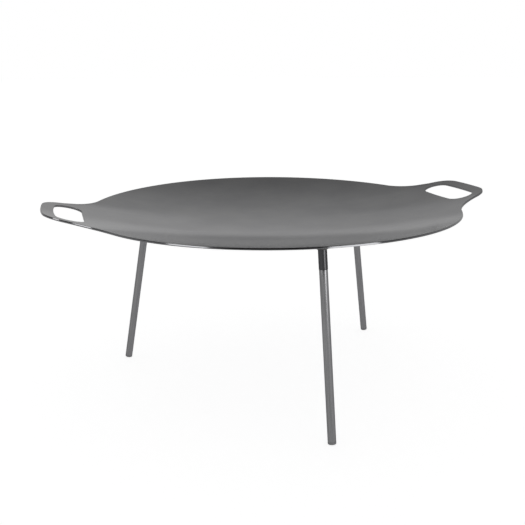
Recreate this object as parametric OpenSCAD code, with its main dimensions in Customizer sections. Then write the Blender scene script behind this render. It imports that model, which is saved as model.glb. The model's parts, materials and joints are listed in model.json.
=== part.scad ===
// Camp griddle plate: a dished steel plate with two pierced handles, on three screw-in legs.
// Millimetres. +Z is up, the handles lie along X, and the origin is on the ground under the
// middle of the plate.

/* [Plate] */
// Diameter of the round plate at its rim
plate_d = 600; // [540:10:800]
// Thickness of the steel sheet
sheet_t = 3; // [2:0.5:5]
// Inside radius of the dished face along the line of the handles
dish_along_r = 1265; // [1100:5:2000]
// Inside radius of the dished face across the line of the handles, a little tighter
dish_across_r = 1160; // [1000:5:1900]

/* [Handles] */
// How far a handle's tip stands out from the rim
handle_reach = 64; // [58:1:85]
// Width of a handle across its outer corners
handle_w = 150; // [130:1:180]
// Radius of a handle's outer corners
handle_corner_r = 42; // [30:1:55]
// Radius of the sweep that blends a handle into the rim
handle_blend_r = 116; // [80:1:200]
// Width of sheet outside the hand hole, at the handle's tip
grip_band = 18; // [15:1:24]
// Width of sheet left at each end of the hand hole
side_band = 17; // [12:1:20]
// Distance from the rim circle to the hand hole
hole_setback = 3; // [2:1:12]
// Radius of the hand hole's corners
hole_corner_r = 20; // [8:1:24]
// Angle at which the hand hole narrows towards the tip
hole_taper = 17; // [5:1:40]

/* [Leg sockets] */
// Distance from the rim in to the middle of a socket
leg_inset = 79.5; // [40:0.5:120]
// Outside diameter of a socket
socket_d = 12.6; // [12:0.2:18]
// Length of a socket from the underside of the plate, on average, to its mouth
socket_l = 30; // [29:1:45]
// Bevel on the socket's mouth
socket_bevel = 0.4; // [0.2:0.1:0.8]
// Leg length of the fillet weld round a socket
weld_w = 3.5; // [2:0.5:6]
// How far back the weld's crown is centred, as a share of its leg length
weld_crown = 0.8; // [0.6:0.1:1.5]

/* [Legs] */
// Length of a leg below its socket
leg_l = 245; // [150:5:400]
// Outside diameter of a leg tube
leg_d = 12; // [11:0.5:16]
// Wall of a leg tube
leg_wall = 1.5; // [1:0.1:1.8]
// Bevel on the upper end of a leg tube
leg_bevel = 0.4; // [0.2:0.1:0.8]
// Diameter of the threaded stud
stud_d = 8; // [6:0.5:8]
// Length of the stud that screws into the socket
stud_l = 20; // [12:1:22]
// Bevel on the tip of the stud
stud_bevel = 1; // [0.5:0.1:1.5]
// Length of the stud's shank inside the tube
shank_l = 18; // [10:1:30]

/* [Feet] */
// Height of the foot plug's head, under the tube
foot_h = 3.5; // [2:0.5:6]
// Rounding of the foot's lower edge
foot_edge_r = 1.2; // [0.5:0.1:1.8]
// Length of the foot's spigot inside the tube
spigot_l = 12; // [6:1:20]
// Bevel on the upper end of the spigot
spigot_bevel = 0.6; // [0.3:0.1:1]

/* [Clearances] */
// Radial play of the stud in the socket's tapped bore
thread_play = 0.05; // [0.02:0.01:0.1]
// Depth of the bore past the stud's tip
bore_run_out = 3; // [2:0.5:4]
// Radial play of the foot's spigot in the tube
spigot_play = 0.05; // [0.02:0.01:0.1]
// Radial gap of the stud's brazed shank in the tube
shank_gap = 0.02; // [0.01:0.01:0.05]

/* [Hidden] */
$fn = 96;

black_steel = "#4a4b4d";
scaled_steel = "#2f2f31";
weld_metal = "#5c5a57";
drawn_steel = "#8b8c8e";

// Legs: the first under the near edge, square to the line of the handles
leg_angles = [270, 30, 150];

// Radii that the pieces share
rim_r = plate_d / 2;
tip_r = rim_r + handle_reach;
seat_r = rim_r - leg_inset;
socket_r = socket_d / 2;
leg_r = leg_d / 2;
tube_bore_r = leg_r - leg_wall;
stud_r = stud_d / 2;
bore_r = stud_r + thread_play;
bore_l = stud_l + bore_run_out;

// The dish is part of a torus: it turns about a level axis that lies across the handles
turn_r = dish_along_r - dish_across_r;
under_r = dish_across_r + sheet_t;

// Legs lean out by the mean slope of the dish at their seats
lean = asin(seat_r / ((dish_along_r + dish_across_r) / 2 + sheet_t));
leg_end = socket_l + leg_l;
tube_l = leg_l - foot_h;

// The rounded inner edge of a leaning foot touches the ground, and that sets every height
foot_rise = (leg_r - foot_edge_r) * sin(lean) + foot_edge_r * (1 - cos(lean));
seat_z = foot_rise + leg_end * cos(lean);
seat_drops = [for (angle = leg_angles) under_drop(polar(seat_r, angle))];
axis_z = seat_z + (seat_drops * [1, 1, 1]) / len(leg_angles);

// How far along its leg each seat lies above the mean
seat_rises = [for (drop = seat_drops) (axis_z - drop - seat_z) * cos(lean)];

// Hand hole: the outer edge runs parallel to the tip, and the corners take up no more than this
// share of the round end that would just fit between that edge, the inner edge and the hole's end
hole_in_x = rim_r + hole_setback;
hole_out_r = tip_r - grip_band;
hole_w = handle_w - 2 * side_band;
corner_sum = 2 * hole_in_x + 2 * hole_out_r - hole_w;
corner_rest = pow(hole_in_x, 2) + pow(hole_w / 2, 2) - pow(hole_out_r, 2);
full_corner_r = (sqrt(pow(corner_sum, 2) - 4 * corner_rest) - corner_sum) / 2;
corner_room = 0.96;
hole_r = min(hole_corner_r, corner_room * full_corner_r);

// The part of the torus that is drawn: clear past the rim, below the dish and above the handle tips
cut_margin = 5;
form_w = plate_d + 2 * cut_margin;
form_rise = plate_d / 4;
form_low = axis_z - dish_along_r - sheet_t - cut_margin;

// How far a socket and its weld run up before they are cut off flat against the underside
cut_room = 2;

// How far a rounding runs past its neighbour, so that the two arcs cross and don't just touch
arc_overlap = 0.02;

// Reach of the wedge that trims a corner, in corner radii: past the sharpest corner here
trim_reach = 3;

// Cone at the blind end of a drilled hole
drill_point = 118;

function polar(r, angle) = [r * cos(angle), r * sin(angle)];
function angle_of(p) = atan2(p.y, p.x);

// Distance from the level of the torus's axis down to the underside of the sheet, at a plan point
function under_drop(p) =
    sqrt(pow(turn_r + sqrt(pow(under_r, 2) - pow(p.y, 2)), 2) - pow(p.x, 2));

// What a round corner takes off a sharp one, between two directions from the corner's centre
module corner_trim(centre, r, from, to) {
    reach = trim_reach * r;
    translate(centre) difference() {
        polygon([
            [0, 0],
            polar(reach, from),
            polar(reach, (from + to) / 2),
            polar(reach, to)
        ]);
        circle(r = r + arc_overlap);
    }
}

// One handle in plan: tip arc, corner arc and blend arc, each running into the next
module handle_outline() {
    corner_y = handle_w / 2 - handle_corner_r;
    corner_reach = tip_r - handle_corner_r;
    corner = [sqrt(pow(corner_reach, 2) - pow(corner_y, 2)), corner_y];
    corner_angle = angle_of(corner);
    blend_reach = rim_r + handle_blend_r;
    blend_span = handle_corner_r + handle_blend_r;
    blend_angle = corner_angle + acos(
        (pow(corner_reach, 2) + pow(blend_reach, 2) - pow(blend_span, 2))
        / (2 * corner_reach * blend_reach));
    blend = polar(blend_reach, blend_angle);
    difference() {
        intersection() {
            circle(r = tip_r, $fn = 360);
            polygon([[0, 0], polar(2 * tip_r, blend_angle), polar(2 * tip_r, -blend_angle)]);
        }
        for (side = [0, 1])
            mirror([0, side]) {
                translate(blend) circle(r = handle_blend_r + arc_overlap, $fn = 360);
                corner_trim(corner, handle_corner_r, corner_angle, angle_of(blend - corner));
            }
    }
}

// One hand hole in plan: straight inner edge, round corners, tapered ends and an outer arc
module hand_hole() {
    along = polar(1, -hole_taper);
    across = polar(1, 90 - hole_taper);
    inner = [hole_in_x + hole_r, hole_w / 2 - hole_r];
    ahead = inner * along;
    run = sqrt(pow(ahead, 2) - inner * inner + pow(hole_out_r - hole_r, 2)) - ahead;
    outer = inner + run * along;
    start = inner + hole_r * across;
    start_y = start.y + (start.x - hole_in_x) * tan(hole_taper);
    end_y = start.y - (tip_r - start.x) * tan(hole_taper);
    difference() {
        intersection() {
            circle(r = hole_out_r, $fn = 360);
            polygon([
                [hole_in_x, -start_y],
                [tip_r, -end_y],
                [tip_r, end_y],
                [hole_in_x, start_y]
            ]);
        }
        for (side = [0, 1])
            mirror([0, side]) {
                corner_trim(inner, hole_r, 90 - hole_taper, 180);
                corner_trim(outer, hole_r, angle_of(outer), 90 - hole_taper);
            }
    }
}

// The whole sheet in plan, rim and both handles, as one blank
module plate_outline() {
    difference() {
        union() {
            circle(r = rim_r, $fn = 360);
            for (turn = [0, 180])
                rotate(turn) handle_outline();
        }
        for (turn = [0, 180])
            rotate(turn) hand_hole();
    }
}

// Everything above a face of the sheet, up to rise over the bottom of the dish
module above_sheet(depth, rise) {
    translate([0, 0, axis_z]) rotate([90, 0, 0]) rotate_extrude($fn = 360) intersection() {
        translate([turn_r, 0]) circle(r = dish_across_r + depth, $fn = 360);
        translate([dish_along_r - rise, -form_w / 2]) square([rise + 2 * sheet_t, form_w]);
    }
}

// The dish and its handles: one pressed sheet, so the handles carry on the sweep of the dish
module griddle_plate() {
    color(black_steel) intersection() {
        difference() {
            above_sheet(sheet_t, form_rise);
            above_sheet(0, form_rise + cut_margin);
        }
        translate([0, 0, form_low]) linear_extrude(form_rise) plate_outline();
    }
}

// Places a piece on a leg's axis: zero at the mean height of the seats, -Z down the leg
module on_leg(number) {
    rotate([0, 0, leg_angles[number - 1]])
        translate([seat_r, 0, seat_z])
            rotate([0, -lean, 0]) children();
}

// Everything close above the plane that touches the underside at a leg's seat
module above_seat(number) {
    seat = polar(seat_r, leg_angles[number - 1]);
    across = asin(seat.y / under_r);
    along = asin(seat.x / (turn_r + under_r * cos(across)));
    block = 2 * socket_d;
    translate([0, 0, axis_z])
        rotate([0, -along, 0])
            translate([0, 0, -turn_r])
                rotate([across, 0, 0])
                    translate([-block, -block, -under_r]) cube([2 * block, 2 * block, block]);
}

// Socket: a round bar drilled and tapped from below, its upper end cut to suit the underside
module leg_socket(number) {
    upper = seat_rises[number - 1] + cut_room;
    mouth = -socket_l;
    blind = mouth + bore_l;
    color(scaled_steel) difference() {
        on_leg(number) rotate_extrude() polygon([
            [0, upper],
            [socket_r, upper],
            [socket_r, mouth + socket_bevel],
            [socket_r - socket_bevel, mouth],
            [bore_r + socket_bevel, mouth],
            [bore_r, mouth + socket_bevel],
            [bore_r, blind],
            [0, blind + bore_r / tan(drill_point / 2)]
        ]);
        above_seat(number);
    }
}

// Fillet weld round the top of a socket, slightly crowned and up against the underside
module socket_weld(number) {
    seat = seat_rises[number - 1];
    crown = weld_crown * weld_w;
    crown_r = norm([weld_w + crown, crown]);
    color(weld_metal) difference() {
        on_leg(number) rotate_extrude() intersection() {
            translate([socket_r, seat - weld_w]) square([crown_r, weld_w + cut_room]);
            translate([socket_r - crown, seat + crown]) circle(r = crown_r);
        }
        above_seat(number);
    }
}

// Threaded stud: its shank is brazed into the tube, its upper length screws into the socket
module leg_stud(number) {
    shoulder = -socket_l;
    shank_r = tube_bore_r - shank_gap;
    color(drawn_steel) on_leg(number) rotate_extrude() polygon([
        [0, shoulder - shank_l],
        [shank_r, shoulder - shank_l],
        [shank_r, shoulder],
        [stud_r, shoulder],
        [stud_r, shoulder + stud_l - stud_bevel],
        [stud_r - stud_bevel, shoulder + stud_l],
        [0, shoulder + stud_l]
    ]);
}

// Leg tube: its upper end seats against the socket's mouth
module leg_tube(number) {
    upper = -socket_l;
    color(drawn_steel) on_leg(number) rotate_extrude() polygon([
        [tube_bore_r, upper],
        [leg_r - leg_bevel, upper],
        [leg_r, upper - leg_bevel],
        [leg_r, upper - tube_l],
        [tube_bore_r, upper - tube_l]
    ]);
}

// Foot plug: closes the lower end of the tube with a round-edged head
module leg_foot(number) {
    head = -leg_end + foot_h;
    spigot_r = tube_bore_r - spigot_play;
    color(drawn_steel) on_leg(number) rotate_extrude() {
        translate([0, -leg_end]) square([leg_r - foot_edge_r, foot_h]);
        translate([0, -leg_end + foot_edge_r]) square([leg_r, foot_h - foot_edge_r]);
        intersection() {
            translate([leg_r - foot_edge_r, -leg_end + foot_edge_r]) circle(r = foot_edge_r);
            translate([0, -leg_end]) square([leg_r, foot_edge_r]);
        }
        polygon([
            [0, head],
            [spigot_r, head],
            [spigot_r, head + spigot_l - spigot_bevel],
            [spigot_r - spigot_bevel, head + spigot_l],
            [0, head + spigot_l]
        ]);
    }
}

griddle_plate();
leg_socket(1);  // leg_socket_1
leg_socket(2);  // leg_socket_2
leg_socket(3);  // leg_socket_3
socket_weld(1);  // socket_weld_1
socket_weld(2);  // socket_weld_2
socket_weld(3);  // socket_weld_3
leg_stud(1);  // leg_stud_1
leg_stud(2);  // leg_stud_2
leg_stud(3);  // leg_stud_3
leg_tube(1);  // leg_tube_1
leg_tube(2);  // leg_tube_2
leg_tube(3);  // leg_tube_3
leg_foot(1);  // leg_foot_1
leg_foot(2);  // leg_foot_2
leg_foot(3);  // leg_foot_3
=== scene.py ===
"""Dresses the camp griddle plate: rounded sheet edges, threads, weld ripples and steel finishes.

Everything is in metres in the CAD model's frame: +Z up, the handles along X, and the origin on the
ground under the middle of the plate.
"""

import json
import math

import bmesh
import bpy
from bpy.props import FloatProperty, FloatVectorProperty, IntProperty, PointerProperty
from mathutils import Matrix, Quaternion, Vector
from mathutils.geometry import delaunay_2d_cdt
from mathutils.kdtree import KDTree


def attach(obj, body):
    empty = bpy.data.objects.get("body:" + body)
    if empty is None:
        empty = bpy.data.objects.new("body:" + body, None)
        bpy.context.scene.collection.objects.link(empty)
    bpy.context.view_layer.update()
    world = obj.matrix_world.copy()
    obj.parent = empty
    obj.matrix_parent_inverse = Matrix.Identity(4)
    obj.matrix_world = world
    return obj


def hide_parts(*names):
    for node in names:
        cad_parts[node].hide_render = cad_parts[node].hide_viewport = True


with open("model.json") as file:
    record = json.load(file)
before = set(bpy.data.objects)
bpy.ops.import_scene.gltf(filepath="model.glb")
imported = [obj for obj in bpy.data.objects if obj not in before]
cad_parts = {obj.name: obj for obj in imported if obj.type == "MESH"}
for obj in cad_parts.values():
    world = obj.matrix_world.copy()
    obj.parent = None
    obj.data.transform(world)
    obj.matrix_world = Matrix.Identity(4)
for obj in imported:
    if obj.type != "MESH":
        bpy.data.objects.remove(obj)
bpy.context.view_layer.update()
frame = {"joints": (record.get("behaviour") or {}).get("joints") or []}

bl_info = {
    "name": "Camp Griddle Plate",
    "version": (1, 0, 0),
    "blender": (4, 5, 0),
    "location": "View3D > Sidebar > Griddle",
    "description": "Dished steel griddle plate on three screw-in legs, over its CAD frame",
    "category": "Add Mesh",
}

LEGS = (1, 2, 3)
MM = 0.001
# Points of one loop or ring closer than this are the same point
SAME_POINT = 1e-6
# Edges sharper than this stay crisp under smooth shading
CREASE = math.radians(35)
# Rings of a threaded wall to one turn of the thread
THREAD_RINGS = 10
# Sides of a turned piece with a thread, and of a plain one
THREADED_SIDES, PLAIN_SIDES = 48, 64
# Bevel that shows as a fine line between a tube and its foot
SEAM = 0.15 * MM
MATH = "ShaderNodeMath"


def linear(hex_colour):
    """An sRGB colour such as "#8c8c8e" as linear red, green and blue."""
    channels = [int(hex_colour[i : i + 2], 16) / 255 for i in (1, 3, 5)]
    return [c / 12.92 if c <= 0.04045 else ((c + 0.055) / 1.055) ** 2.4 for c in channels]


def size(name, description, default):
    """A size that the sidebar shows with its unit."""
    return FloatProperty(
        name=name, description=description, default=default, min=0, precision=5, unit="LENGTH"
    )


def tilt(name, description, default):
    """An angle that the sidebar shows in degrees."""
    return FloatProperty(name=name, description=description, default=default, subtype="ANGLE")


def colour(name, description, default):
    """A finish's colour, given as an sRGB hex value."""
    return FloatVectorProperty(
        name=name, description=description, default=linear(default), min=0, max=1, subtype="COLOR"
    )


class PlateSizes(bpy.types.PropertyGroup):
    """Sizes of the dished sheet and its handles."""

    diameter: size("Diameter", "Across the round plate at its rim", 0.600)
    thickness: size("Thickness", "Thickness of the steel sheet", 0.003)
    dish_along: size("Dish Along", "Inside radius of the dish along the handles", 1.265)
    dish_across: size("Dish Across", "Inside radius of the dish across the handles", 1.160)
    edge_round: size("Edge Round", "Rounding of the cut edges", 0.0003)
    reach: size("Handle Reach", "How far a handle's tip stands out from the rim", 0.064)
    width: size("Handle Width", "Across a handle's outer corners", 0.150)
    corner: size("Handle Corner", "Radius of a handle's outer corners", 0.042)
    blend: size("Handle Blend", "Radius of the sweep from a handle into the rim", 0.116)
    grip_band: size("Grip Band", "Width of sheet outside the hand hole", 0.018)
    side_band: size("Side Band", "Width of sheet at each end of the hand hole", 0.017)
    setback: size("Hole Setback", "From the rim circle to the hand hole", 0.003)
    hole_corner: size("Hole Corner", "Largest radius of the hand hole's corners", 0.020)
    hole_taper: tilt("Hole Taper", "How the hand hole narrows towards the tip", math.radians(17))


class LegSizes(bpy.types.PropertyGroup):
    """Sizes of a leg, its socket, its thread and its weld."""

    socket_radius: size("Socket Radius", "Outside radius of a socket", 0.0063)
    socket_length: size("Socket Length", "From the plate to the socket's mouth", 0.030)
    bore_radius: size("Bore Radius", "Radius of the tapped bore at the thread's crests", 0.00405)
    bore_length: size("Bore Length", "Depth of the tapped bore", 0.023)
    weld: size("Weld", "Leg length of the fillet weld round a socket", 0.0035)
    length: size("Leg Length", "Length of a leg below its socket", 0.245)
    radius: size("Leg Radius", "Outside radius of a leg tube", 0.006)
    wall: size("Tube Wall", "Wall of a leg tube", 0.0015)
    bevel: size("Bevel", "Bevel on the ends of the tube and the socket", 0.0004)
    stud_radius: size("Stud Radius", "Radius of the stud at the thread's crests", 0.00398)
    stud_length: size("Stud Length", "Length that screws into the socket", 0.020)
    stud_bevel: size("Stud Bevel", "Bevel on the tip of the stud", 0.001)
    shank_length: size("Shank Length", "Length of the stud inside the tube", 0.018)
    pitch: size("Thread Pitch", "Rise of the thread in one turn", 0.00125)
    thread_depth: size("Thread Depth", "From the thread's crest to its root", 0.00068)
    foot_height: size("Foot Height", "Height of the foot plug's head", 0.0035)
    foot_round: size("Foot Round", "Rounding of the foot's lower edge", 0.0012)
    spigot_length: size("Spigot Length", "Length of the foot plug inside the tube", 0.012)
    ripples: IntProperty(
        name="Weld Ripples", description="Ripples round one weld bead", default=26, min=8, max=60
    )
    ripple_height: size("Ripple Height", "How far a weld ripple stands proud", 0.00035)


class Finishes(bpy.types.PropertyGroup):
    """Colours of the steels and of the stage."""

    sheet: colour("Sheet", "Satin rolled sheet of the plate", "#cbcbcc")
    sheet_dark: colour("Sheet Shade", "Darker clouds in the rolled sheet", "#c2c2c4")
    # Painted shade: the cut edge's colour is darkened to stand in for the dark that the edge mirrors
    cut_edge: colour("Cut Edge", "Dark cut edge of the sheet", "#8a8a8c")
    socket: colour("Socket", "Blackened socket", "#5e5e60")
    weld: colour("Weld", "Weld bead", "#8f8e8b")
    tube: colour("Tube", "Drawn leg tube", "#b9b9bb")
    tube_dark: colour("Tube Streak", "Darker drawing streaks in the tube", "#98989a")
    stud: colour("Stud", "Bright threaded stud", "#c8c8c7")
    foot: colour("Foot", "Turned foot plug", "#a5a5a7")
    floor: colour("Floor", "Pale floor", "#f4f4f4")


class StageSettings(bpy.types.PropertyGroup):
    """Camera, floor and light."""

    distance: size("Camera Distance", "From the plate's axis to the camera, level", 1.15435)
    height: size("Camera Height", "Height of the camera above the ground", 0.50615)
    azimuth: tilt("Azimuth", "Turn of the camera about the plate's axis", -0.3082)
    pitch: tilt("Pitch", "Camera's tilt down", 0.2645)
    yaw: tilt("Yaw", "Camera's turn off the axis", -0.0155)
    roll: tilt("Roll", "Camera's roll", -0.0046)
    focal_length: FloatProperty(
        name="Focal Length",
        description="Focal length in millimetres on a 36 mm sensor",
        default=48.956,
        subtype="DISTANCE_CAMERA",
    )
    floor_radius: size("Floor Radius", "Radius of the round floor", 40)
    floor_lift: FloatProperty(
        name="Floor Lift", description="Light of the floor's own, with white as 1", default=0.805
    )
    mirrored_lift: FloatProperty(
        name="Mirrored Lift", description="The same where the steel mirrors it", default=0.23
    )
    box_distance: size("Soft Box Distance", "From the plate's axis to a soft box, level", 2.2)
    box_top: size("Soft Box Top", "Height of a soft box's upper edge", 1.0)
    box_light: FloatProperty(
        name="Soft Box Light", description="Brightness of a soft box, with white as 1", default=2.3
    )


def add(tree, kind, inputs=None, **settings):
    """Adds a node with its settings, and fills its inputs with values or links."""
    node = tree.nodes.new(kind)
    node.location = (200 * len(tree.nodes), 0)
    for name, value in settings.items():
        setattr(node, name, value)
    for key, value in (inputs or {}).items():
        if isinstance(value, bpy.types.NodeSocket):
            tree.links.new(value, node.inputs[key])
        else:
            node.inputs[key].default_value = value
    return node


def empty_tree(owner):
    """The node tree of a material, a world or a light, emptied."""
    owner.use_nodes = True
    owner.node_tree.nodes.clear()
    return owner.node_tree


def steel(name, finish):
    """Starts a metal: returns the material, its node tree and its shader with these values."""
    material = bpy.data.materials.new(name)
    tree = empty_tree(material)
    shader = add(tree, "ShaderNodeBsdfPrincipled", {"Metallic": 1.0, **finish})
    add(tree, "ShaderNodeOutputMaterial", {"Surface": shader.outputs["BSDF"]})
    return material, tree, shader


def long_marks(tree, place, lengths, detail, roughness):
    """Marks left by rolls, dies and lathes: noise drawn out to these lengths in metres."""
    drawn_out = add(
        tree, "ShaderNodeMapping", {"Vector": place, "Scale": [1 / length for length in lengths]}
    )
    return add(
        tree,
        "ShaderNodeTexNoise",
        {"Vector": drawn_out.outputs[0], "Scale": 1.0, "Detail": detail, "Roughness": roughness},
    ).outputs[0]


def mottled(tree, pattern, low, high, dark, light):
    """A colour that goes from dark to light as a pattern goes from low to high."""
    share = add(tree, "ShaderNodeMapRange", {"Value": pattern, "From Min": low, "From Max": high})
    return add(
        tree,
        "ShaderNodeMix",
        {0: share.outputs[0], 6: (*dark, 1), 7: (*light, 1)},
        data_type="RGBA",
    ).outputs[2]


def break_gloss(tree, shader, pattern, gloss, strength, height):
    """Varies a steel's roughness between two values by a pattern, which also raises the surface."""
    # Noise seldom leaves the range from 0.3 to 0.7
    satin = add(
        tree,
        "ShaderNodeMapRange",
        {"Value": pattern, "From Min": 0.3, "From Max": 0.7, "To Min": gloss[0], "To Max": gloss[1]},
    )
    bump = add(tree, "ShaderNodeBump", {"Height": pattern, "Strength": strength, "Distance": height})
    tree.links.new(satin.outputs[0], shader.inputs["Roughness"])
    tree.links.new(bump.outputs[0], shader.inputs["Normal"])


def rolled_sheet_steel(finishes):
    """Hot-rolled sheet, pickled and oiled: a satin mirror with faint clouds and grain.

    The clouds are about 60 mm wide. The rolling grain runs along X; real grain is a few tenths of
    a millimetre wide, and is drawn 4 mm wide so that it shows. The cut edge gets a darker colour:
    painted shade that stands in for the dark the edge mirrors.
    """
    material, tree, shader = steel("rolled_sheet_steel", {})
    place = add(tree, "ShaderNodeTexCoord").outputs["Object"]
    clouds = add(
        tree,
        "ShaderNodeTexNoise",
        {"Vector": place, "Scale": 1 / (60 * MM), "Detail": 5.0, "Roughness": 0.55},
    )
    grain = long_marks(tree, place, (160 * MM, 4 * MM, 160 * MM), detail=3.0, roughness=0.6)
    face = mottled(tree, clouds.outputs[0], 0.35, 0.65, finishes.sheet_dark, finishes.sheet)
    # Painted shade: the cut edge is mixed to its darker colour
    cut = add(tree, "ShaderNodeAttribute", attribute_name="cut_edge")
    edged = add(
        tree,
        "ShaderNodeMix",
        {0: cut.outputs["Fac"], 6: face, 7: (*finishes.cut_edge, 1)},
        data_type="RGBA",
    )
    tree.links.new(edged.outputs[2], shader.inputs["Base Color"])
    break_gloss(tree, shader, grain, (0.1, 0.14), strength=0.12, height=0.1 * MM)
    return material


def drawn_tube_steel(finishes):
    """Cold-drawn tube: satin, with long streaks left by the die along its length.

    The surface map is in metres, across and along. Streaks are 1.2 mm wide and 90 mm long. The
    specular tint keeps its sides darker at a glancing angle than clean metal is.
    """
    material, tree, shader = steel("drawn_tube_steel", {"Specular Tint": (0.3, 0.3, 0.3, 1)})
    place = add(tree, "ShaderNodeUVMap", uv_map="surface").outputs[0]
    streaks = long_marks(tree, place, (1.2 * MM, 90 * MM, 1), detail=4.0, roughness=0.65)
    tint = mottled(tree, streaks, 0.32, 0.68, finishes.tube_dark, finishes.tube)
    tree.links.new(tint, shader.inputs["Base Color"])
    break_gloss(tree, shader, streaks, (0.3, 0.2), strength=0.15, height=0.1 * MM)
    return material


def turned_steel(name, base, mark_spacing, gloss):
    """Steel off a lathe: fine rings from the tool, which break the gloss into bands.

    The surface map's second axis runs along the turned profile, so the rings follow it. The
    specular tint darkens glancing angles, as on the tube.
    """
    material, tree, shader = steel(
        name, {"Base Color": (*base, 1), "Specular Tint": (0.4, 0.4, 0.4, 1)}
    )
    place = add(tree, "ShaderNodeUVMap", uv_map="surface").outputs[0]
    rings = long_marks(tree, place, (60 * MM, mark_spacing, 1), detail=3.0, roughness=0.6)
    break_gloss(tree, shader, rings, gloss, strength=0.2, height=0.05 * MM)
    return material


def weld_metal(finishes):
    """Fillet weld brushed clean: dull bare metal with a skin of pits about 0.8 mm across."""
    material, tree, shader = steel("weld_metal", {"Base Color": (*finishes.weld, 1)})
    place = add(tree, "ShaderNodeTexCoord").outputs["Object"]
    pits = add(
        tree,
        "ShaderNodeTexNoise",
        {"Vector": place, "Scale": 1 / (0.8 * MM), "Detail": 3.0, "Roughness": 0.6},
    )
    break_gloss(tree, shader, pits.outputs[0], (0.3, 0.5), strength=0.3, height=0.1 * MM)
    return material


def polar(radius, angle):
    """A plan point at a distance and an angle from the origin."""
    return Vector((radius * math.cos(angle), radius * math.sin(angle)))


def angle_of(point):
    """Direction of a plan vector."""
    return math.atan2(point[1], point[0])


def arc(centre, radius, start, end, step):
    """Points along an arc, both ends included, no further apart than step."""
    count = max(1, math.ceil(abs(end - start) * radius / step))
    return [
        Vector(centre) + polar(radius, start + (end - start) * i / count) for i in range(count + 1)
    ]


def line(start, end, step):
    """Points along a straight line, both ends included, no further apart than step."""
    count = max(1, math.ceil((Vector(end) - Vector(start)).length / step))
    return [Vector(start).lerp(Vector(end), i / count) for i in range(count + 1)]


def closed_loop(half):
    """A loop from its upper half, which is mirrored across X. Repeated points are dropped."""
    points = half + [Vector((p.x, -p.y)) for p in reversed(half)]
    return [p for p, q in zip(points, points[1:] + points[:1]) if (p - q).length > SAME_POINT]


def plate_outline(plate, step):
    """The sheet's outline, counter-clockwise: tip, corner, blend and rim arcs, all tangent."""
    rim = plate.diameter / 2
    tip = rim + plate.reach
    corner_reach = tip - plate.corner
    corner_angle = math.asin((plate.width / 2 - plate.corner) / corner_reach)
    corner = polar(corner_reach, corner_angle)
    blend_reach = rim + plate.blend
    span = plate.corner + plate.blend
    blend_angle = corner_angle + math.acos(
        (corner_reach**2 + blend_reach**2 - span**2) / (2 * corner_reach * blend_reach)
    )
    blend = polar(blend_reach, blend_angle)
    side = angle_of(blend - corner)
    quarter = [
        *arc((0, 0), tip, 0, corner_angle, step),
        *arc(corner, plate.corner, corner_angle, side, step),
        *arc(blend, plate.blend, side + math.pi, blend_angle + math.pi, step),
        *arc((0, 0), rim, blend_angle, math.pi / 2, step),
    ]
    return closed_loop(quarter + [Vector((-p.x, p.y)) for p in reversed(quarter)])


def hand_hole(plate, step):
    """The right hand hole, clockwise: outer arc, round corners, tapered ends, inner edge."""
    inner_x = plate.diameter / 2 + plate.setback
    outer_radius = plate.diameter / 2 + plate.reach - plate.grip_band
    half_width = plate.width / 2 - plate.side_band
    # The corner that would just fit between the inner edge, the outer arc and the hole's end
    total = 2 * (inner_x + outer_radius - half_width)
    rest = inner_x**2 + half_width**2 - outer_radius**2
    largest = (math.sqrt(total**2 - 4 * rest) - total) / 2
    share_used = 0.96
    corner = min(plate.hole_corner, share_used * largest)
    along = polar(1, -plate.hole_taper)
    end = math.pi / 2 - plate.hole_taper
    inner = Vector((inner_x + corner, half_width - corner))
    ahead = inner.dot(along)
    run = math.sqrt(ahead**2 - inner.length_squared + (outer_radius - corner) ** 2) - ahead
    outer = inner + run * along
    half = [
        *arc((0, 0), outer_radius, 0, angle_of(outer), step),
        *arc(outer, corner, angle_of(outer), end, step),
        *line(outer + polar(corner, end), inner + polar(corner, end), step),
        *arc(inner, corner, end, math.pi, step),
        *line((inner_x, inner.y), (inner_x, 0), step),
    ]
    return closed_loop(half)[::-1]


def outward(loop):
    """Plan normals of a loop that point away from the sheet, which lies on the loop's left."""
    normals = []
    for before, after in zip(loop[-1:] + loop[:-1], loop[1:] + loop[:1]):
        way = (after - before).normalized()
        normals.append(Vector((way.y, -way.x)))
    return normals


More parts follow.
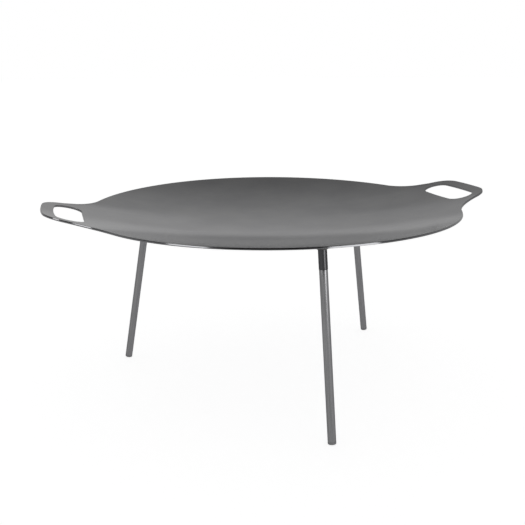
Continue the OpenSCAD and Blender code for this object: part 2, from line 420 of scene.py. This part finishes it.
def flat_blank(plate):
    """The sheet before pressing: a flat mesh with its top at zero, pierced and round-edged."""
    edge_step, grid_step, margin = 2.5 * MM, 11 * MM, 6 * MM
    flat_start = plate.edge_round + 1.2 * MM
    right = hand_hole(plate, edge_step)
    loops = [plate_outline(plate, edge_step), right, [-p for p in right]]
    sides = [outward(loop) for loop in loops]

    rim_points = [(p, n) for loop, normals in zip(loops, sides) for p, n in zip(loop, normals)]
    nearest = KDTree(len(rim_points))
    for i, (point, _) in enumerate(rim_points):
        nearest.insert(point.to_3d(), i)
    nearest.balance()

    def depth_in_sheet(point):
        """Distance from the nearest edge, negative outside the sheet."""
        _, i, gap = nearest.find(point.to_3d())
        return -gap if (point - rim_points[i][0]).dot(rim_points[i][1]) > 0 else gap

    # Points of the flat faces: the loops drawn in past the rounding, and rings in between
    corners, borders = [], []
    for loop, normals in zip(loops, sides):
        first = len(corners)
        corners += [p - n * flat_start for p, n in zip(loop, normals)]
        borders += [(first + i, first + (i + 1) % len(loop)) for i in range(len(loop))]
    tip = plate.diameter / 2 + plate.reach
    for ring in range(int(tip / grid_step) + 1):
        radius = ring * grid_step
        count = max(1, round(math.tau * radius / grid_step))
        spots = [polar(radius, math.tau * (i + ring % 2 / 2) / count) for i in range(count)]
        corners += [p for p in spots if depth_in_sheet(p) > margin]
    points, _, triangles, *_ = delaunay_2d_cdt(corners, borders, [], 0, SAME_POINT)
    triangles = [
        t for t in triangles if depth_in_sheet(sum((points[i] for i in t), Vector((0, 0))) / 3) > 0
    ]

    bm = bmesh.new()
    # Marks the cut edge, whose colour is darkened as painted shade
    cut_edge = bm.verts.layers.float.new("cut_edge")
    for depth, order in ((0, 1), (plate.thickness, -1)):
        face_verts = [bm.verts.new((p.x, p.y, -depth)) for p in points]
        for t in triangles:
            bm.faces.new([face_verts[i] for i in t[::order]])

    # Section of the edge, as steps in from the outline and down from the top
    edge_steps = 4
    turns = [math.pi / 2 * i / edge_steps for i in range(edge_steps + 1)]
    top = [
        (plate.edge_round * (1 - math.sin(a)), plate.edge_round * (1 - math.cos(a))) for a in turns
    ]
    section = [(flat_start, 0), *top]
    section += [(inset, plate.thickness - depth) for inset, depth in reversed(section)]
    for loop, normals in zip(loops, sides):
        rings = []
        for inset, depth in section:
            ring = [bm.verts.new((*(p - n * inset), -depth)) for p, n in zip(loop, normals)]
            for vert in ring:
                vert[cut_edge] = float(0 < depth < plate.thickness)
            rings.append(ring)
        for upper, lower in zip(rings, rings[1:]):
            for i in range(len(loop)):
                j = (i + 1) % len(loop)
                bm.faces.new((upper[i], lower[i], lower[j], upper[j]))
    bmesh.ops.remove_doubles(bm, verts=bm.verts, dist=SAME_POINT)
    loose = [v for v in bm.verts if not v.link_faces]
    bmesh.ops.delete(bm, geom=loose, context="VERTS")
    return new_object("dished_plate", bm)


def new_object(name, bm):
    """A smooth-shaded object from a finished bmesh."""
    mesh = bpy.data.meshes.new(name)
    bm.to_mesh(mesh)
    bm.free()
    mesh.shade_smooth()
    piece = bpy.data.objects.new(name, mesh)
    bpy.context.scene.collection.objects.link(piece)
    return piece


def lathe(name, profile, sides, marks=None):
    """Turns a counter-clockwise profile of (radius, height) points about Z.

    The UV map "surface" is in metres, round the piece and along the profile. Each point's mark, if
    given, goes on its ring as the attribute "mark".
    """
    bm = bmesh.new()
    surface = bm.loops.layers.uv.new("surface")
    mark = bm.verts.layers.float.new("mark")
    girth = math.tau * max(radius for radius, _ in profile)
    rings, run = [], [0.0]
    for row, (radius, height) in enumerate(profile):
        count = sides if radius > SAME_POINT else 1
        ring = [bm.verts.new((*polar(radius, math.tau * i / sides), height)) for i in range(count)]
        for vert in ring:
            vert[mark] = marks[row] if marks else 0.0
        rings.append(ring)
        if row:
            run.append(run[-1] + (Vector(profile[row]) - Vector(profile[row - 1])).length)
    for row in range(len(profile) - 1):
        for i in range(sides):
            corners = []
            for r, turn in ((row, i), (row, i + 1), (row + 1, i + 1), (row + 1, i)):
                vert = rings[r][turn % len(rings[r])]
                if vert not in [c[0] for c in corners]:
                    corners.append((vert, (girth * turn / sides, run[r])))
            face = bm.faces.new([c[0] for c in corners])
            for loop, (_, uv) in zip(face.loops, corners):
                loop[surface].uv = uv
    bmesh.ops.remove_doubles(bm, verts=bm.verts, dist=SAME_POINT / 10)
    piece = new_object(name, bm)
    piece.data.set_sharp_from_angle(angle=CREASE)
    return piece


def geometry_tree(name, sockets):
    """An empty geometry tree with these named inputs: returns it and their sockets."""
    tree = bpy.data.node_groups.new(name, "GeometryNodeTree")
    tree.is_modifier = True
    tree.interface.new_socket("Geometry", in_out="OUTPUT", socket_type="NodeSocketGeometry")
    for socket, kind in {"Geometry": "Geometry", **sockets, "Material": "Material"}.items():
        tree.interface.new_socket(socket, in_out="INPUT", socket_type="NodeSocket" + kind)
    return tree, add(tree, "NodeGroupInput").outputs


def end_tree(tree, geometry, material):
    """Ends a geometry tree: instances made real, then the material."""
    real = add(tree, "GeometryNodeRealizeInstances", {0: geometry})
    dressed = add(tree, "GeometryNodeSetMaterial", {0: real.outputs[0], "Material": material})
    add(tree, "NodeGroupOutput", {0: dressed.outputs[0]})


def end_shifted(tree, given, direction, amount):
    """Ends a geometry tree by moving its points by an amount along a direction."""
    step = add(tree, "ShaderNodeVectorMath", {0: direction, "Scale": amount}, operation="SCALE")
    moved = add(
        tree,
        "GeometryNodeSetPosition",
        {"Geometry": given["Geometry"], "Offset": step.outputs[0]},
    )
    end_tree(tree, moved.outputs[0], given["Material"])


def run_tree(piece, tree, values):
    """Runs a geometry tree on a piece and keeps the result as its plain mesh."""
    modifier = piece.modifiers.new(tree.name, "NODES")
    modifier.node_group = tree
    for name, value in values.items():
        modifier[tree.interface.items_tree[name].identifier] = value
    depsgraph = bpy.context.evaluated_depsgraph_get()
    made = bpy.data.meshes.new_from_object(
        piece.evaluated_get(depsgraph), preserve_all_data_layers=True, depsgraph=depsgraph
    )
    piece.modifiers.clear()
    made.name = piece.name
    piece.data = made


def press_tree():
    """Presses a flat blank into a dish with its own radius along X and across it.

    The blank's plan stays where it is on the top face, and its depth becomes depth square to the
    sheet, so the cut edges stay square to it.
    """
    tree, given = geometry_tree(
        "press_dish", {"Along": "Float", "Across": "Float", "Axis Height": "Float"}
    )
    along, across = given["Along"], given["Across"]
    place = add(tree, "GeometryNodeInputPosition").outputs[0]
    parts = add(tree, "ShaderNodeSeparateXYZ", {0: place}).outputs
    offset = add(tree, MATH, {0: along, 1: across}, operation="SUBTRACT").outputs[0]
    # Slope across the handles, as its sine, angle and cosine
    sine_y = add(tree, MATH, {0: parts["Y"], 1: across}, operation="DIVIDE").outputs[0]
    tilt_y = add(tree, MATH, {0: sine_y}, operation="ARCSINE").outputs[0]
    cosine_y = add(tree, MATH, {0: tilt_y}, operation="COSINE").outputs[0]
    # Slope along them, about the level axis
    arm = add(tree, MATH, {0: across, 1: cosine_y, 2: offset}, operation="MULTIPLY_ADD").outputs[0]
    sine_x = add(tree, MATH, {0: parts["X"], 1: arm}, operation="DIVIDE").outputs[0]
    tilt_x = add(tree, MATH, {0: sine_x}, operation="ARCSINE").outputs[0]
    cosine_x = add(tree, MATH, {0: tilt_x}, operation="COSINE").outputs[0]
    # The same two slopes at the point's own depth in the sheet
    deep = add(tree, MATH, {0: across, 1: parts["Z"]}, operation="SUBTRACT").outputs[0]
    deep_arm = add(tree, MATH, {0: deep, 1: cosine_y, 2: offset}, operation="MULTIPLY_ADD").outputs[0]
    x = add(tree, MATH, {0: deep_arm, 1: sine_x}, operation="MULTIPLY").outputs[0]
    y = add(tree, MATH, {0: deep, 1: sine_y}, operation="MULTIPLY").outputs[0]
    drop = add(tree, MATH, {0: deep_arm, 1: cosine_x}, operation="MULTIPLY").outputs[0]
    z = add(tree, MATH, {0: given["Axis Height"], 1: drop}, operation="SUBTRACT").outputs[0]
    pressed_place = add(tree, "ShaderNodeCombineXYZ", {"X": x, "Y": y, "Z": z}).outputs[0]
    pressed = add(
        tree,
        "GeometryNodeSetPosition",
        {"Geometry": given["Geometry"], "Position": pressed_place},
    )
    end_tree(tree, pressed.outputs[0], given["Material"])
    return tree


def about_axis(tree):
    """A point's place, the parts of it, and its angle about Z in turns."""
    place = add(tree, "GeometryNodeInputPosition").outputs[0]
    parts = add(tree, "ShaderNodeSeparateXYZ", {0: place}).outputs
    angle = add(tree, MATH, {0: parts["Y"], 1: parts["X"]}, operation="ARCTAN2").outputs[0]
    turns = add(tree, MATH, {0: angle, 1: math.tau}, operation="DIVIDE").outputs[0]
    return place, parts, turns


def thread_tree():
    """Cuts a right-hand V thread with flats into the rings that carry a mark.

    Depth is taken towards the axis, so a negative depth cuts a bore outwards.
    """
    tree, given = geometry_tree("cut_thread", {"Pitch": "Float", "Depth": "Float"})
    _, parts, turns = about_axis(tree)
    rise = add(tree, MATH, {0: parts["Z"], 1: given["Pitch"]}, operation="DIVIDE").outputs[0]
    phase = add(tree, MATH, {0: rise, 1: turns}, operation="SUBTRACT").outputs[0]
    wave = add(tree, MATH, {0: phase, 1: 0.5}, operation="PINGPONG").outputs[0]
    # An eighth of the pitch is flat at the crest, and as much at the root
    flats = add(
        tree,
        "ShaderNodeMapRange",
        {"Value": wave, "From Min": 0.06, "From Max": 0.44},
    ).outputs[0]
    mark = add(tree, "GeometryNodeInputNamedAttribute", {"Name": "mark"}).outputs[0]
    share = add(tree, MATH, {0: flats, 1: mark}, operation="MULTIPLY").outputs[0]
    depth = add(tree, MATH, {0: share, 1: given["Depth"]}, operation="MULTIPLY").outputs[0]
    inward = add(tree, MATH, {0: depth, 1: -1.0}, operation="MULTIPLY").outputs[0]
    plan = add(tree, "ShaderNodeCombineXYZ", {"X": parts["X"], "Y": parts["Y"]}).outputs[0]
    way_out = add(tree, "ShaderNodeVectorMath", {0: plan}, operation="NORMALIZE").outputs[0]
    end_shifted(tree, given, way_out, inward)
    return tree


def ripple_tree():
    """Raises crescent ripples along a weld bead; a mark runs from -1 to 1 across its face."""
    tree, given = geometry_tree(
        "raise_ripples", {"Ripples": "Float", "Height": "Float", "Seed": "Float"}
    )
    place, _, turns = about_axis(tree)
    count = add(tree, MATH, {0: turns, 1: given["Ripples"]}, operation="MULTIPLY").outputs[0]
    across = add(tree, "GeometryNodeInputNamedAttribute", {"Name": "mark"}).outputs[0]
    bow = add(tree, MATH, {0: across, 1: across}, operation="MULTIPLY").outputs[0]
    # The hand's small unevenness, about 3 mm long
    sway = add(
        tree,
        "ShaderNodeTexNoise",
        {"Vector": place, "W": given["Seed"], "Scale": 1 / (3 * MM), "Detail": 1.0},
        noise_dimensions="4D",
    ).outputs[0]
    bowed = add(tree, MATH, {0: count, 1: bow}, operation="ADD").outputs[0]
    phase = add(tree, MATH, {0: bowed, 1: sway}, operation="ADD").outputs[0]
    wave = add(tree, MATH, {0: phase, 1: 0.5}, operation="PINGPONG").outputs[0]
    crest = add(
        tree,
        "ShaderNodeMapRange",
        {"Value": wave, "From Min": 0.0, "From Max": 0.5},
        interpolation_type="SMOOTHSTEP",
    ).outputs[0]
    inside = add(tree, MATH, {0: 1.0, 1: bow}, operation="SUBTRACT").outputs[0]
    share = add(tree, MATH, {0: crest, 1: inside}, operation="MULTIPLY").outputs[0]
    proud = add(tree, MATH, {0: share, 1: given["Height"]}, operation="MULTIPLY").outputs[0]
    normal = add(tree, "GeometryNodeInputNormal").outputs[0]
    end_shifted(tree, given, normal, proud)
    return tree


def leg_axis(number):
    """A leg's foot end and its unit direction down the leg, from the CAD model's turning joint."""
    for joint in frame["joints"]:
        if joint["name"] == f"leg_{number}_turn":
            return Vector(joint["pos_m"]), Vector(joint["axis"]).normalized()
    raise RuntimeError(f"the frame has no turning joint for leg {number}")


def leg_place(number, legs):
    """Matrix that puts a piece on a leg: zero at the plate's underside, +Z up, +X to the middle."""
    foot, down = leg_axis(number)
    seat = foot - down * (legs.socket_length + legs.length)
    side = (-down).cross(Vector((-seat.x, -seat.y, 0))).normalized()
    turn = Matrix((side.cross(-down), side, -down)).transposed()
    return Matrix.Translation(seat) @ turn.to_4x4()


def under_drop(plate, spot):
    """From the level of the dish's axis down to the underside of the sheet, at a plan point."""
    arm = math.sqrt((plate.dish_across + plate.thickness) ** 2 - spot.y**2)
    return math.sqrt((plate.dish_along - plate.dish_across + arm) ** 2 - spot.x**2)


def dish_axis(plate, legs):
    """Height of the level axis that the dish turns about: the legs' zeros lie at the mean seat."""
    seats = [leg_place(number, legs).translation for number in LEGS]
    return sum(seat.z + under_drop(plate, seat) for seat in seats) / len(seats)


def seat_rise(number, plate, legs):
    """How far above a leg's zero the underside lies, along the leg."""
    place = leg_place(number, legs)
    seat = place.translation
    return (dish_axis(plate, legs) - under_drop(plate, seat) - seat.z) * place.col[2].z


def settle(piece, place, body, node):
    """Puts a finished piece in its place on a body, in a CAD node's stead."""
    piece.data.transform(place)
    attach(piece, body)
    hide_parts(node)


class GRIDDLE_OT_plate(bpy.types.Operator):
    """Press the dished plate with its handles"""

    bl_idname = "griddle.plate"
    bl_label = "Plate"

    def execute(self, context):
        plate, legs = context.scene.griddle_plate, context.scene.griddle_legs
        piece = flat_blank(plate)
        values = {
            "Along": plate.dish_along,
            "Across": plate.dish_across,
            "Axis Height": dish_axis(plate, legs),
            "Material": rolled_sheet_steel(context.scene.griddle_finishes),
        }
        run_tree(piece, press_tree(), values)
        settle(piece, Matrix.Identity(4), "griddle", "griddle_plate")
        return {"FINISHED"}


class GRIDDLE_OT_sockets(bpy.types.Operator):
    """Turn and tap the sockets under the plate"""

    bl_idname = "griddle.sockets"
    bl_label = "Sockets"

    def execute(self, context):
        plate, legs = context.scene.griddle_plate, context.scene.griddle_legs
        base = context.scene.griddle_finishes.socket
        finish = turned_steel("black_socket_steel", base, mark_spacing=0.6 * MM, gloss=(0.18, 0.28))
        tree = thread_tree()
        mouth, blind = -legs.socket_length, legs.bore_length - legs.socket_length
        drill_point = 0.6 * legs.bore_radius
        # The bore's rings run down its wall, and its thread fades out over a turn at each end
        start, end = (legs.bore_radius, blind), (legs.bore_radius, mouth + legs.bevel)
        wall = line(start, end, legs.pitch / THREAD_RINGS)
        profile = [(0, blind + drill_point), *wall]
        last = len(wall) - 1
        lead = [min(1.0, i / THREAD_RINGS, (last - i) / THREAD_RINGS) for i in range(len(wall))]
        marks = [0.0, *lead]
        for number in LEGS:
            # Its upper end stops inside the sheet
            upper = seat_rise(number, plate, legs) + plate.thickness / 3
            rest = [
                (legs.bore_radius + legs.bevel, mouth),
                (legs.socket_radius - legs.bevel, mouth),
                (legs.socket_radius, mouth + legs.bevel),
                (legs.socket_radius, upper),
                (0, upper),
            ]
            shares = marks + [0.0] * len(rest)
            piece = lathe(f"tapped_socket_{number}", profile + rest, THREADED_SIDES, shares)
            values = {"Pitch": legs.pitch, "Depth": -legs.thread_depth, "Material": finish}
            run_tree(piece, tree, values)
            place = leg_place(number, legs)
            settle(piece, place, "griddle", f"leg_socket_{number}")
        return {"FINISHED"}


class GRIDDLE_OT_welds(bpy.types.Operator):
    """Lay the weld beads round the sockets"""

    bl_idname = "griddle.welds"
    bl_label = "Welds"

    def execute(self, context):
        plate, legs = context.scene.griddle_plate, context.scene.griddle_legs
        finish = weld_metal(context.scene.griddle_finishes)
        tree = ripple_tree()
        # The bead's face, from the socket up to the plate, with its crown drawn back
        face_steps, ripple_sides = 16, 8
        crown = 0.8 * legs.weld
        centre = Vector((legs.socket_radius - crown, crown))
        low = Vector((legs.socket_radius, -legs.weld)) - centre
        high = Vector((legs.socket_radius + legs.weld, 0)) - centre
        face = arc(centre, low.length, angle_of(low), angle_of(high), low.length / face_steps)
        # Its back sits a little inside the socket and the plate
        sunk = 0.15 * MM
        back = [
            (legs.socket_radius + legs.weld, sunk),
            (legs.socket_radius - sunk, sunk),
            (legs.socket_radius - sunk, -legs.weld),
        ]
        profile = [*face, *back, face[0]]
        marks = [2 * i / (len(face) - 1) - 1 for i in range(len(face))] + [1.0, 1.0, 1.0, -1.0]
        for number in LEGS:
            piece = lathe(f"weld_bead_{number}", profile, ripple_sides * legs.ripples, marks)
            values = {
                "Ripples": float(legs.ripples),
                "Height": legs.ripple_height,
                "Seed": float(number),
                "Material": finish,
            }
            run_tree(piece, tree, values)
            rise = Matrix.Translation((0, 0, seat_rise(number, plate, legs)))
            place = leg_place(number, legs) @ rise
            settle(piece, place, "griddle", f"socket_weld_{number}")
        return {"FINISHED"}


class GRIDDLE_OT_studs(bpy.types.Operator):
    """Turn and thread the studs"""

    bl_idname = "griddle.studs"
    bl_label = "Studs"

    def execute(self, context):
        legs = context.scene.griddle_legs
        base = context.scene.griddle_finishes.stud
        finish = turned_steel("threaded_stud_steel", base, mark_spacing=0.5 * MM, gloss=(0.2, 0.34))
        tree = thread_tree()
        shoulder = -legs.socket_length
        braze_gap = 0.02 * MM
        shank = legs.radius - legs.wall - braze_gap
        tip = shoulder + legs.stud_length
        start, end = (legs.stud_radius, shoulder), (legs.stud_radius, tip - legs.stud_bevel)
        wall = line(start, end, legs.pitch / THREAD_RINGS)
        lead = [min(1.0, i / THREAD_RINGS) for i in range(len(wall))]
        profile = [
            (0, shoulder - legs.shank_length),
            (shank, shoulder - legs.shank_length),
            (shank, shoulder),
            *wall,
            (legs.stud_radius - legs.stud_bevel, tip),
            (0, tip),
        ]
        marks = [0.0, 0.0, 0.0, *lead, 0.0, 0.0]
        for number in LEGS:
            piece = lathe(f"threaded_stud_{number}", profile, THREADED_SIDES, marks)
            values = {"Pitch": legs.pitch, "Depth": legs.thread_depth, "Material": finish}
            run_tree(piece, tree, values)
            place = leg_place(number, legs)
            settle(piece, place, f"leg_{number}", f"leg_stud_{number}")
        return {"FINISHED"}


class GRIDDLE_OT_tubes(bpy.types.Operator):
    """Draw the leg tubes"""

    bl_idname = "griddle.tubes"
    bl_label = "Leg Tubes"

    def execute(self, context):
        legs = context.scene.griddle_legs
        finish = drawn_tube_steel(context.scene.griddle_finishes)
        top = -legs.socket_length
        bottom = top - legs.length + legs.foot_height
        bore, outside = legs.radius - legs.wall, legs.radius
        side_step, round_step = 20 * MM, 0.15 * MM
        rounding = (outside - legs.bevel, top - legs.bevel)
        profile = [
            (bore, bottom),
            (outside - SEAM, bottom),
            *line((outside, bottom + SEAM), (outside, top - legs.bevel), side_step),
            *arc(rounding, legs.bevel, 0, math.pi / 2, round_step),
            (bore, top),
            (bore, bottom),
        ]
        for number in LEGS:
            piece = lathe(f"drawn_tube_{number}", profile, PLAIN_SIDES)
            piece.data.materials.append(finish)
            place = leg_place(number, legs)
            settle(piece, place, f"leg_{number}", f"leg_tube_{number}")
        return {"FINISHED"}


class GRIDDLE_OT_feet(bpy.types.Operator):
    """Turn the foot plugs that close the tubes"""

    bl_idname = "griddle.feet"
    bl_label = "Feet"

    def execute(self, context):
        legs = context.scene.griddle_legs
        base = context.scene.griddle_finishes.foot
        finish = turned_steel("turned_foot_steel", base, mark_spacing=0.5 * MM, gloss=(0.34, 0.48))
        end = -legs.socket_length - legs.length
        head = end + legs.foot_height
        play, spigot_bevel = 0.05 * MM, 0.6 * MM
        first_ring, face_step, round_step = 0.5 * MM, 1.0 * MM, 0.2 * MM
        spigot = legs.radius - legs.wall - play
        edge = (legs.radius - legs.foot_round, end + legs.foot_round)
        profile = [
            (0, end),
            *line((first_ring, end), (edge[0], end), face_step),
            *arc(edge, legs.foot_round, -math.pi / 2, 0, round_step),
            (legs.radius, head - SEAM),
            (legs.radius - SEAM, head),
            (spigot, head),
            (spigot, head + legs.spigot_length - spigot_bevel),
            (spigot - spigot_bevel, head + legs.spigot_length),
            (0, head + legs.spigot_length),
        ]
        for number in LEGS:
            piece = lathe(f"foot_plug_{number}", profile, PLAIN_SIDES)
            piece.data.materials.append(finish)
            place = leg_place(number, legs)
            settle(piece, place, f"foot_{number}", f"leg_foot_{number}")
        return {"FINISHED"}


# Brightness of the studio by height above the horizon in degrees: straight behind the object, where
# the wall shades off evenly; to its left and right, where pale flats end in steps; at the ends of
# the room; and round the camera, where it is dark above the table's edge
STUDIO_MIDDLE = (
    (-90, 0.39),
    (8, 0.37),
    (11, 0.333),
    (19, 0.285),
    (25, 0.24),
    (37, 0.13),
    (60, 0.3),
)
STUDIO_LEFT = (
    (-90, 0.445),
    (7.8, 0.405),
    (8.2, 0.328),
    (17.1, 0.36),
    (17.5, 0.266),
    (25.5, 0.253),
    (29, 0.19),
    (37, 0.13),
    (60, 0.3),
)
STUDIO_RIGHT = (
    (-90, 0.41),
    (8.7, 0.37),
    (9.1, 0.29),
    (18.4, 0.298),
    (18.8, 0.226),
    (26, 0.216),
    (29, 0.153),
    (37, 0.125),
    (60, 0.3),
)
STUDIO_ENDS = ((-90, 0.45), (8, 0.45), (11, 0.16), (45, 0.16), (60, 0.3))
STUDIO_BEFORE = ((-90, 0.45), (8, 0.45), (11, 0.027), (24, 0.027), (32, 0.22), (60, 0.3))
# Each soft box: degrees round from the camera, height of its lower edge, width, and how far off its
# light is still full
SOFT_BOXES = {"left": (-46.5, 0.55, 0.9, 2.16), "right": (43.5, 0.3, 1.1, 2.08)}
# What the soft boxes face, under the middle of the plate
AIM = Vector((0, 0, 0.2))


class GRIDDLE_OT_stage(bpy.types.Operator):
    """Set the pale floor, the soft light and the camera"""

    bl_idname = "griddle.stage"
    bl_label = "Stage"

    def execute(self, context):
        scene, stage = context.scene, context.scene.griddle_stage
        towards_camera = Vector((math.sin(stage.azimuth), -math.cos(stage.azimuth), 0))
        self.make_camera(scene, stage, towards_camera)
        self.make_floor(scene, stage)
        self.make_studio(scene, towards_camera)
        for name, (angle, low, width, reach) in SOFT_BOXES.items():
            away = Quaternion((0, 0, 1), math.radians(angle)) @ towards_camera
            place = away * stage.box_distance + Vector((0, 0, (low + stage.box_top) / 2))
            self.make_soft_box(scene, stage, name, place, (width, stage.box_top - low), reach)
        scene.view_settings.view_transform = "Standard"
        return {"FINISHED"}

    def make_camera(self, scene, stage, towards_camera):
        """A camera where the photograph was taken from."""
        lens = bpy.data.cameras.new("camera")
        lens.lens = stage.focal_length
        lens.sensor_width = 36
        camera = bpy.data.objects.new("camera", lens)
        forward = Quaternion((0, 0, 1), -stage.yaw) @ -towards_camera * math.cos(stage.pitch)
        forward.z = -math.sin(stage.pitch)
        camera.location = towards_camera * stage.distance + Vector((0, 0, stage.height))
        camera.rotation_mode = "QUATERNION"
        roll = Quaternion((0, 0, 1), stage.roll)
        camera.rotation_quaternion = forward.to_track_quat("-Z", "Y") @ roll
        scene.collection.objects.link(camera)
        scene.camera = camera

    def make_floor(self, scene, stage):
        """A wide pale floor, clear from below so that the underside can be looked at."""
        bm = bmesh.new()
        bmesh.ops.create_circle(bm, cap_ends=True, segments=64, radius=stage.floor_radius)
        floor = new_object("floor", bm)
        material = bpy.data.materials.new("pale_floor_paper")
        tree = empty_tree(material)
        # Lifted towards white as on a light table, and less where the steel mirrors it
        mirrored = add(tree, "ShaderNodeLightPath").outputs["Is Glossy Ray"]
        lift = add(
            tree,
            "ShaderNodeMapRange",
            {"Value": mirrored, "To Min": stage.floor_lift, "To Max": stage.mirrored_lift},
        )
        paper = add(
            tree,
            "ShaderNodeBsdfPrincipled",
            {
                "Base Color": (*scene.griddle_finishes.floor, 1),
                "Roughness": 0.9,
                "Specular IOR Level": 0.1,
                "Emission Color": (1, 1, 1, 1),
                "Emission Strength": lift.outputs[0],
            },
        )
        below = add(tree, "ShaderNodeNewGeometry").outputs["Backfacing"]
        clear = add(tree, "ShaderNodeBsdfTransparent")
        seen = add(
            tree, "ShaderNodeMixShader", {0: below, 1: paper.outputs[0], 2: clear.outputs[0]}
        )
        add(tree, "ShaderNodeOutputMaterial", {"Surface": seen.outputs[0]})
        floor.data.materials.append(material)

    def make_studio(self, scene, towards_camera):
        """Soft light from all round, by the tables above."""
        world = bpy.data.worlds.new("soft_studio")
        tree = empty_tree(world)
        way = add(tree, "ShaderNodeTexCoord").outputs["Generated"]
        height = add(tree, "ShaderNodeSeparateXYZ", {0: way}).outputs["Z"]
        share = add(
            tree,
            "ShaderNodeMapRange",
            {"Value": height, "From Min": -1.0, "From Max": 1.0},
        ).outputs[0]
        ramps = []
        for table in (STUDIO_MIDDLE, STUDIO_LEFT, STUDIO_RIGHT, STUDIO_ENDS, STUDIO_BEFORE):
            ramp = add(tree, "ShaderNodeValToRGB", {0: share})
            stops = ramp.color_ramp.elements
            while len(stops) < len(table):
                stops.new(1.0)
            for stop, (degrees, light) in zip(stops, table):
                stop.position = (1 + math.sin(math.radians(degrees))) / 2
                stop.color = (light, light, light, 1)
            ramps.append(ramp.outputs[0])
        # Where each next table takes over: a direction, and the cosines between which it fades in
        right = Vector((-towards_camera.y, towards_camera.x, 0))
        sides = (
            (-right, 0.035, 0.085),
            (right, 0.01, 0.085),
            (towards_camera, -0.75, -0.5),
            (towards_camera, 0.75, 0.89),
        )
        light = ramps[0]
        for (direction, start, end), ramp in zip(sides, ramps[1:]):
            turned = add(
                tree, "ShaderNodeVectorMath", {0: way, 1: direction}, operation="DOT_PRODUCT"
            )
            taken = add(
                tree,
                "ShaderNodeMapRange",
                {"Value": turned.outputs["Value"], "From Min": start, "From Max": end},
                interpolation_type="SMOOTHSTEP",
            )
            light = add(
                tree, "ShaderNodeMix", {0: taken.outputs[0], 6: light, 7: ramp}, data_type="RGBA"
            ).outputs[2]
        # The camera itself sees plain white paper behind the object
        paper = add(tree, "ShaderNodeLightPath").outputs["Is Camera Ray"]
        seen = add(
            tree, "ShaderNodeMix", {0: paper, 6: light, 7: (1, 1, 1, 1)}, data_type="RGBA"
        ).outputs[2]
        sky = add(tree, "ShaderNodeBackground", {"Color": seen, "Strength": 1.0})
        add(tree, "ShaderNodeOutputWorld", {"Surface": sky.outputs[0]})
        scene.world = world

    def make_soft_box(self, scene, stage, name, place, span, reach):
        """A soft box that faces the plate, well brighter than a white wall."""
        panel = bpy.data.lights.new(f"soft_box_{name}", "AREA")
        panel.shape = "RECTANGLE"
        panel.size, panel.size_y = span
        panel.energy = stage.box_light * math.pi * span[0] * span[1]
        # Flags keep it off the far half of the plate, which would mirror it when seen from behind
        tree = empty_tree(panel)
        fade, spill = 0.12, 0.1
        run = add(tree, "ShaderNodeLightPath").outputs["Ray Length"]
        flagged = add(
            tree,
            "ShaderNodeMapRange",
            {"Value": run, "From Min": reach, "From Max": reach + fade, "To Min": 1.0, "To Max": spill},
            interpolation_type="SMOOTHSTEP",
        )
        glow = add(tree, "ShaderNodeEmission", {"Strength": flagged.outputs[0]})
        add(tree, "ShaderNodeOutputLight", {"Surface": glow.outputs[0]})
        box = bpy.data.objects.new(panel.name, panel)
        box.location = place
        box.rotation_mode = "QUATERNION"
        box.rotation_quaternion = (AIM - place).to_track_quat("-Z", "Y")
        box.visible_camera = False
        # The steel mirrors it, and the floor is left to the even light
        box.visible_diffuse = False
        scene.collection.objects.link(box)


OPERATORS = (
    GRIDDLE_OT_plate,
    GRIDDLE_OT_sockets,
    GRIDDLE_OT_welds,
    GRIDDLE_OT_studs,
    GRIDDLE_OT_tubes,
    GRIDDLE_OT_feet,
    GRIDDLE_OT_stage,
)


class GRIDDLE_PT_sidebar(bpy.types.Panel):
    """Sizes, finishes and steps of the griddle plate"""

    bl_idname = "GRIDDLE_PT_sidebar"
    bl_label = "Camp Griddle Plate"
    bl_space_type = "VIEW_3D"
    bl_region_type = "UI"
    bl_category = "Griddle"

    def draw(self, context):
        for operator in OPERATORS:
            self.layout.operator(operator.bl_idname)
        for scene_name, group in GROUPS.items():
            box = self.layout.box()
            for name in group.__annotations__:
                box.prop(getattr(context.scene, scene_name), name)


GROUPS = {
    "griddle_plate": PlateSizes,
    "griddle_legs": LegSizes,
    "griddle_finishes": Finishes,
    "griddle_stage": StageSettings,
}
CLASSES = (*GROUPS.values(), *OPERATORS, GRIDDLE_PT_sidebar)


def register():
    for cls in CLASSES:
        bpy.utils.register_class(cls)
    for name, group in GROUPS.items():
        setattr(bpy.types.Scene, name, PointerProperty(type=group))


def unregister():
    for name in GROUPS:
        delattr(bpy.types.Scene, name)
    for cls in reversed(CLASSES):
        bpy.utils.unregister_class(cls)


def main():
    """Makes every piece and the stage."""
    register()
    bpy.ops.griddle.plate()
    bpy.ops.griddle.sockets()
    bpy.ops.griddle.welds()
    bpy.ops.griddle.studs()
    bpy.ops.griddle.tubes()
    bpy.ops.griddle.feet()
    bpy.ops.griddle.stage()


if __name__ == "__main__":
    main()
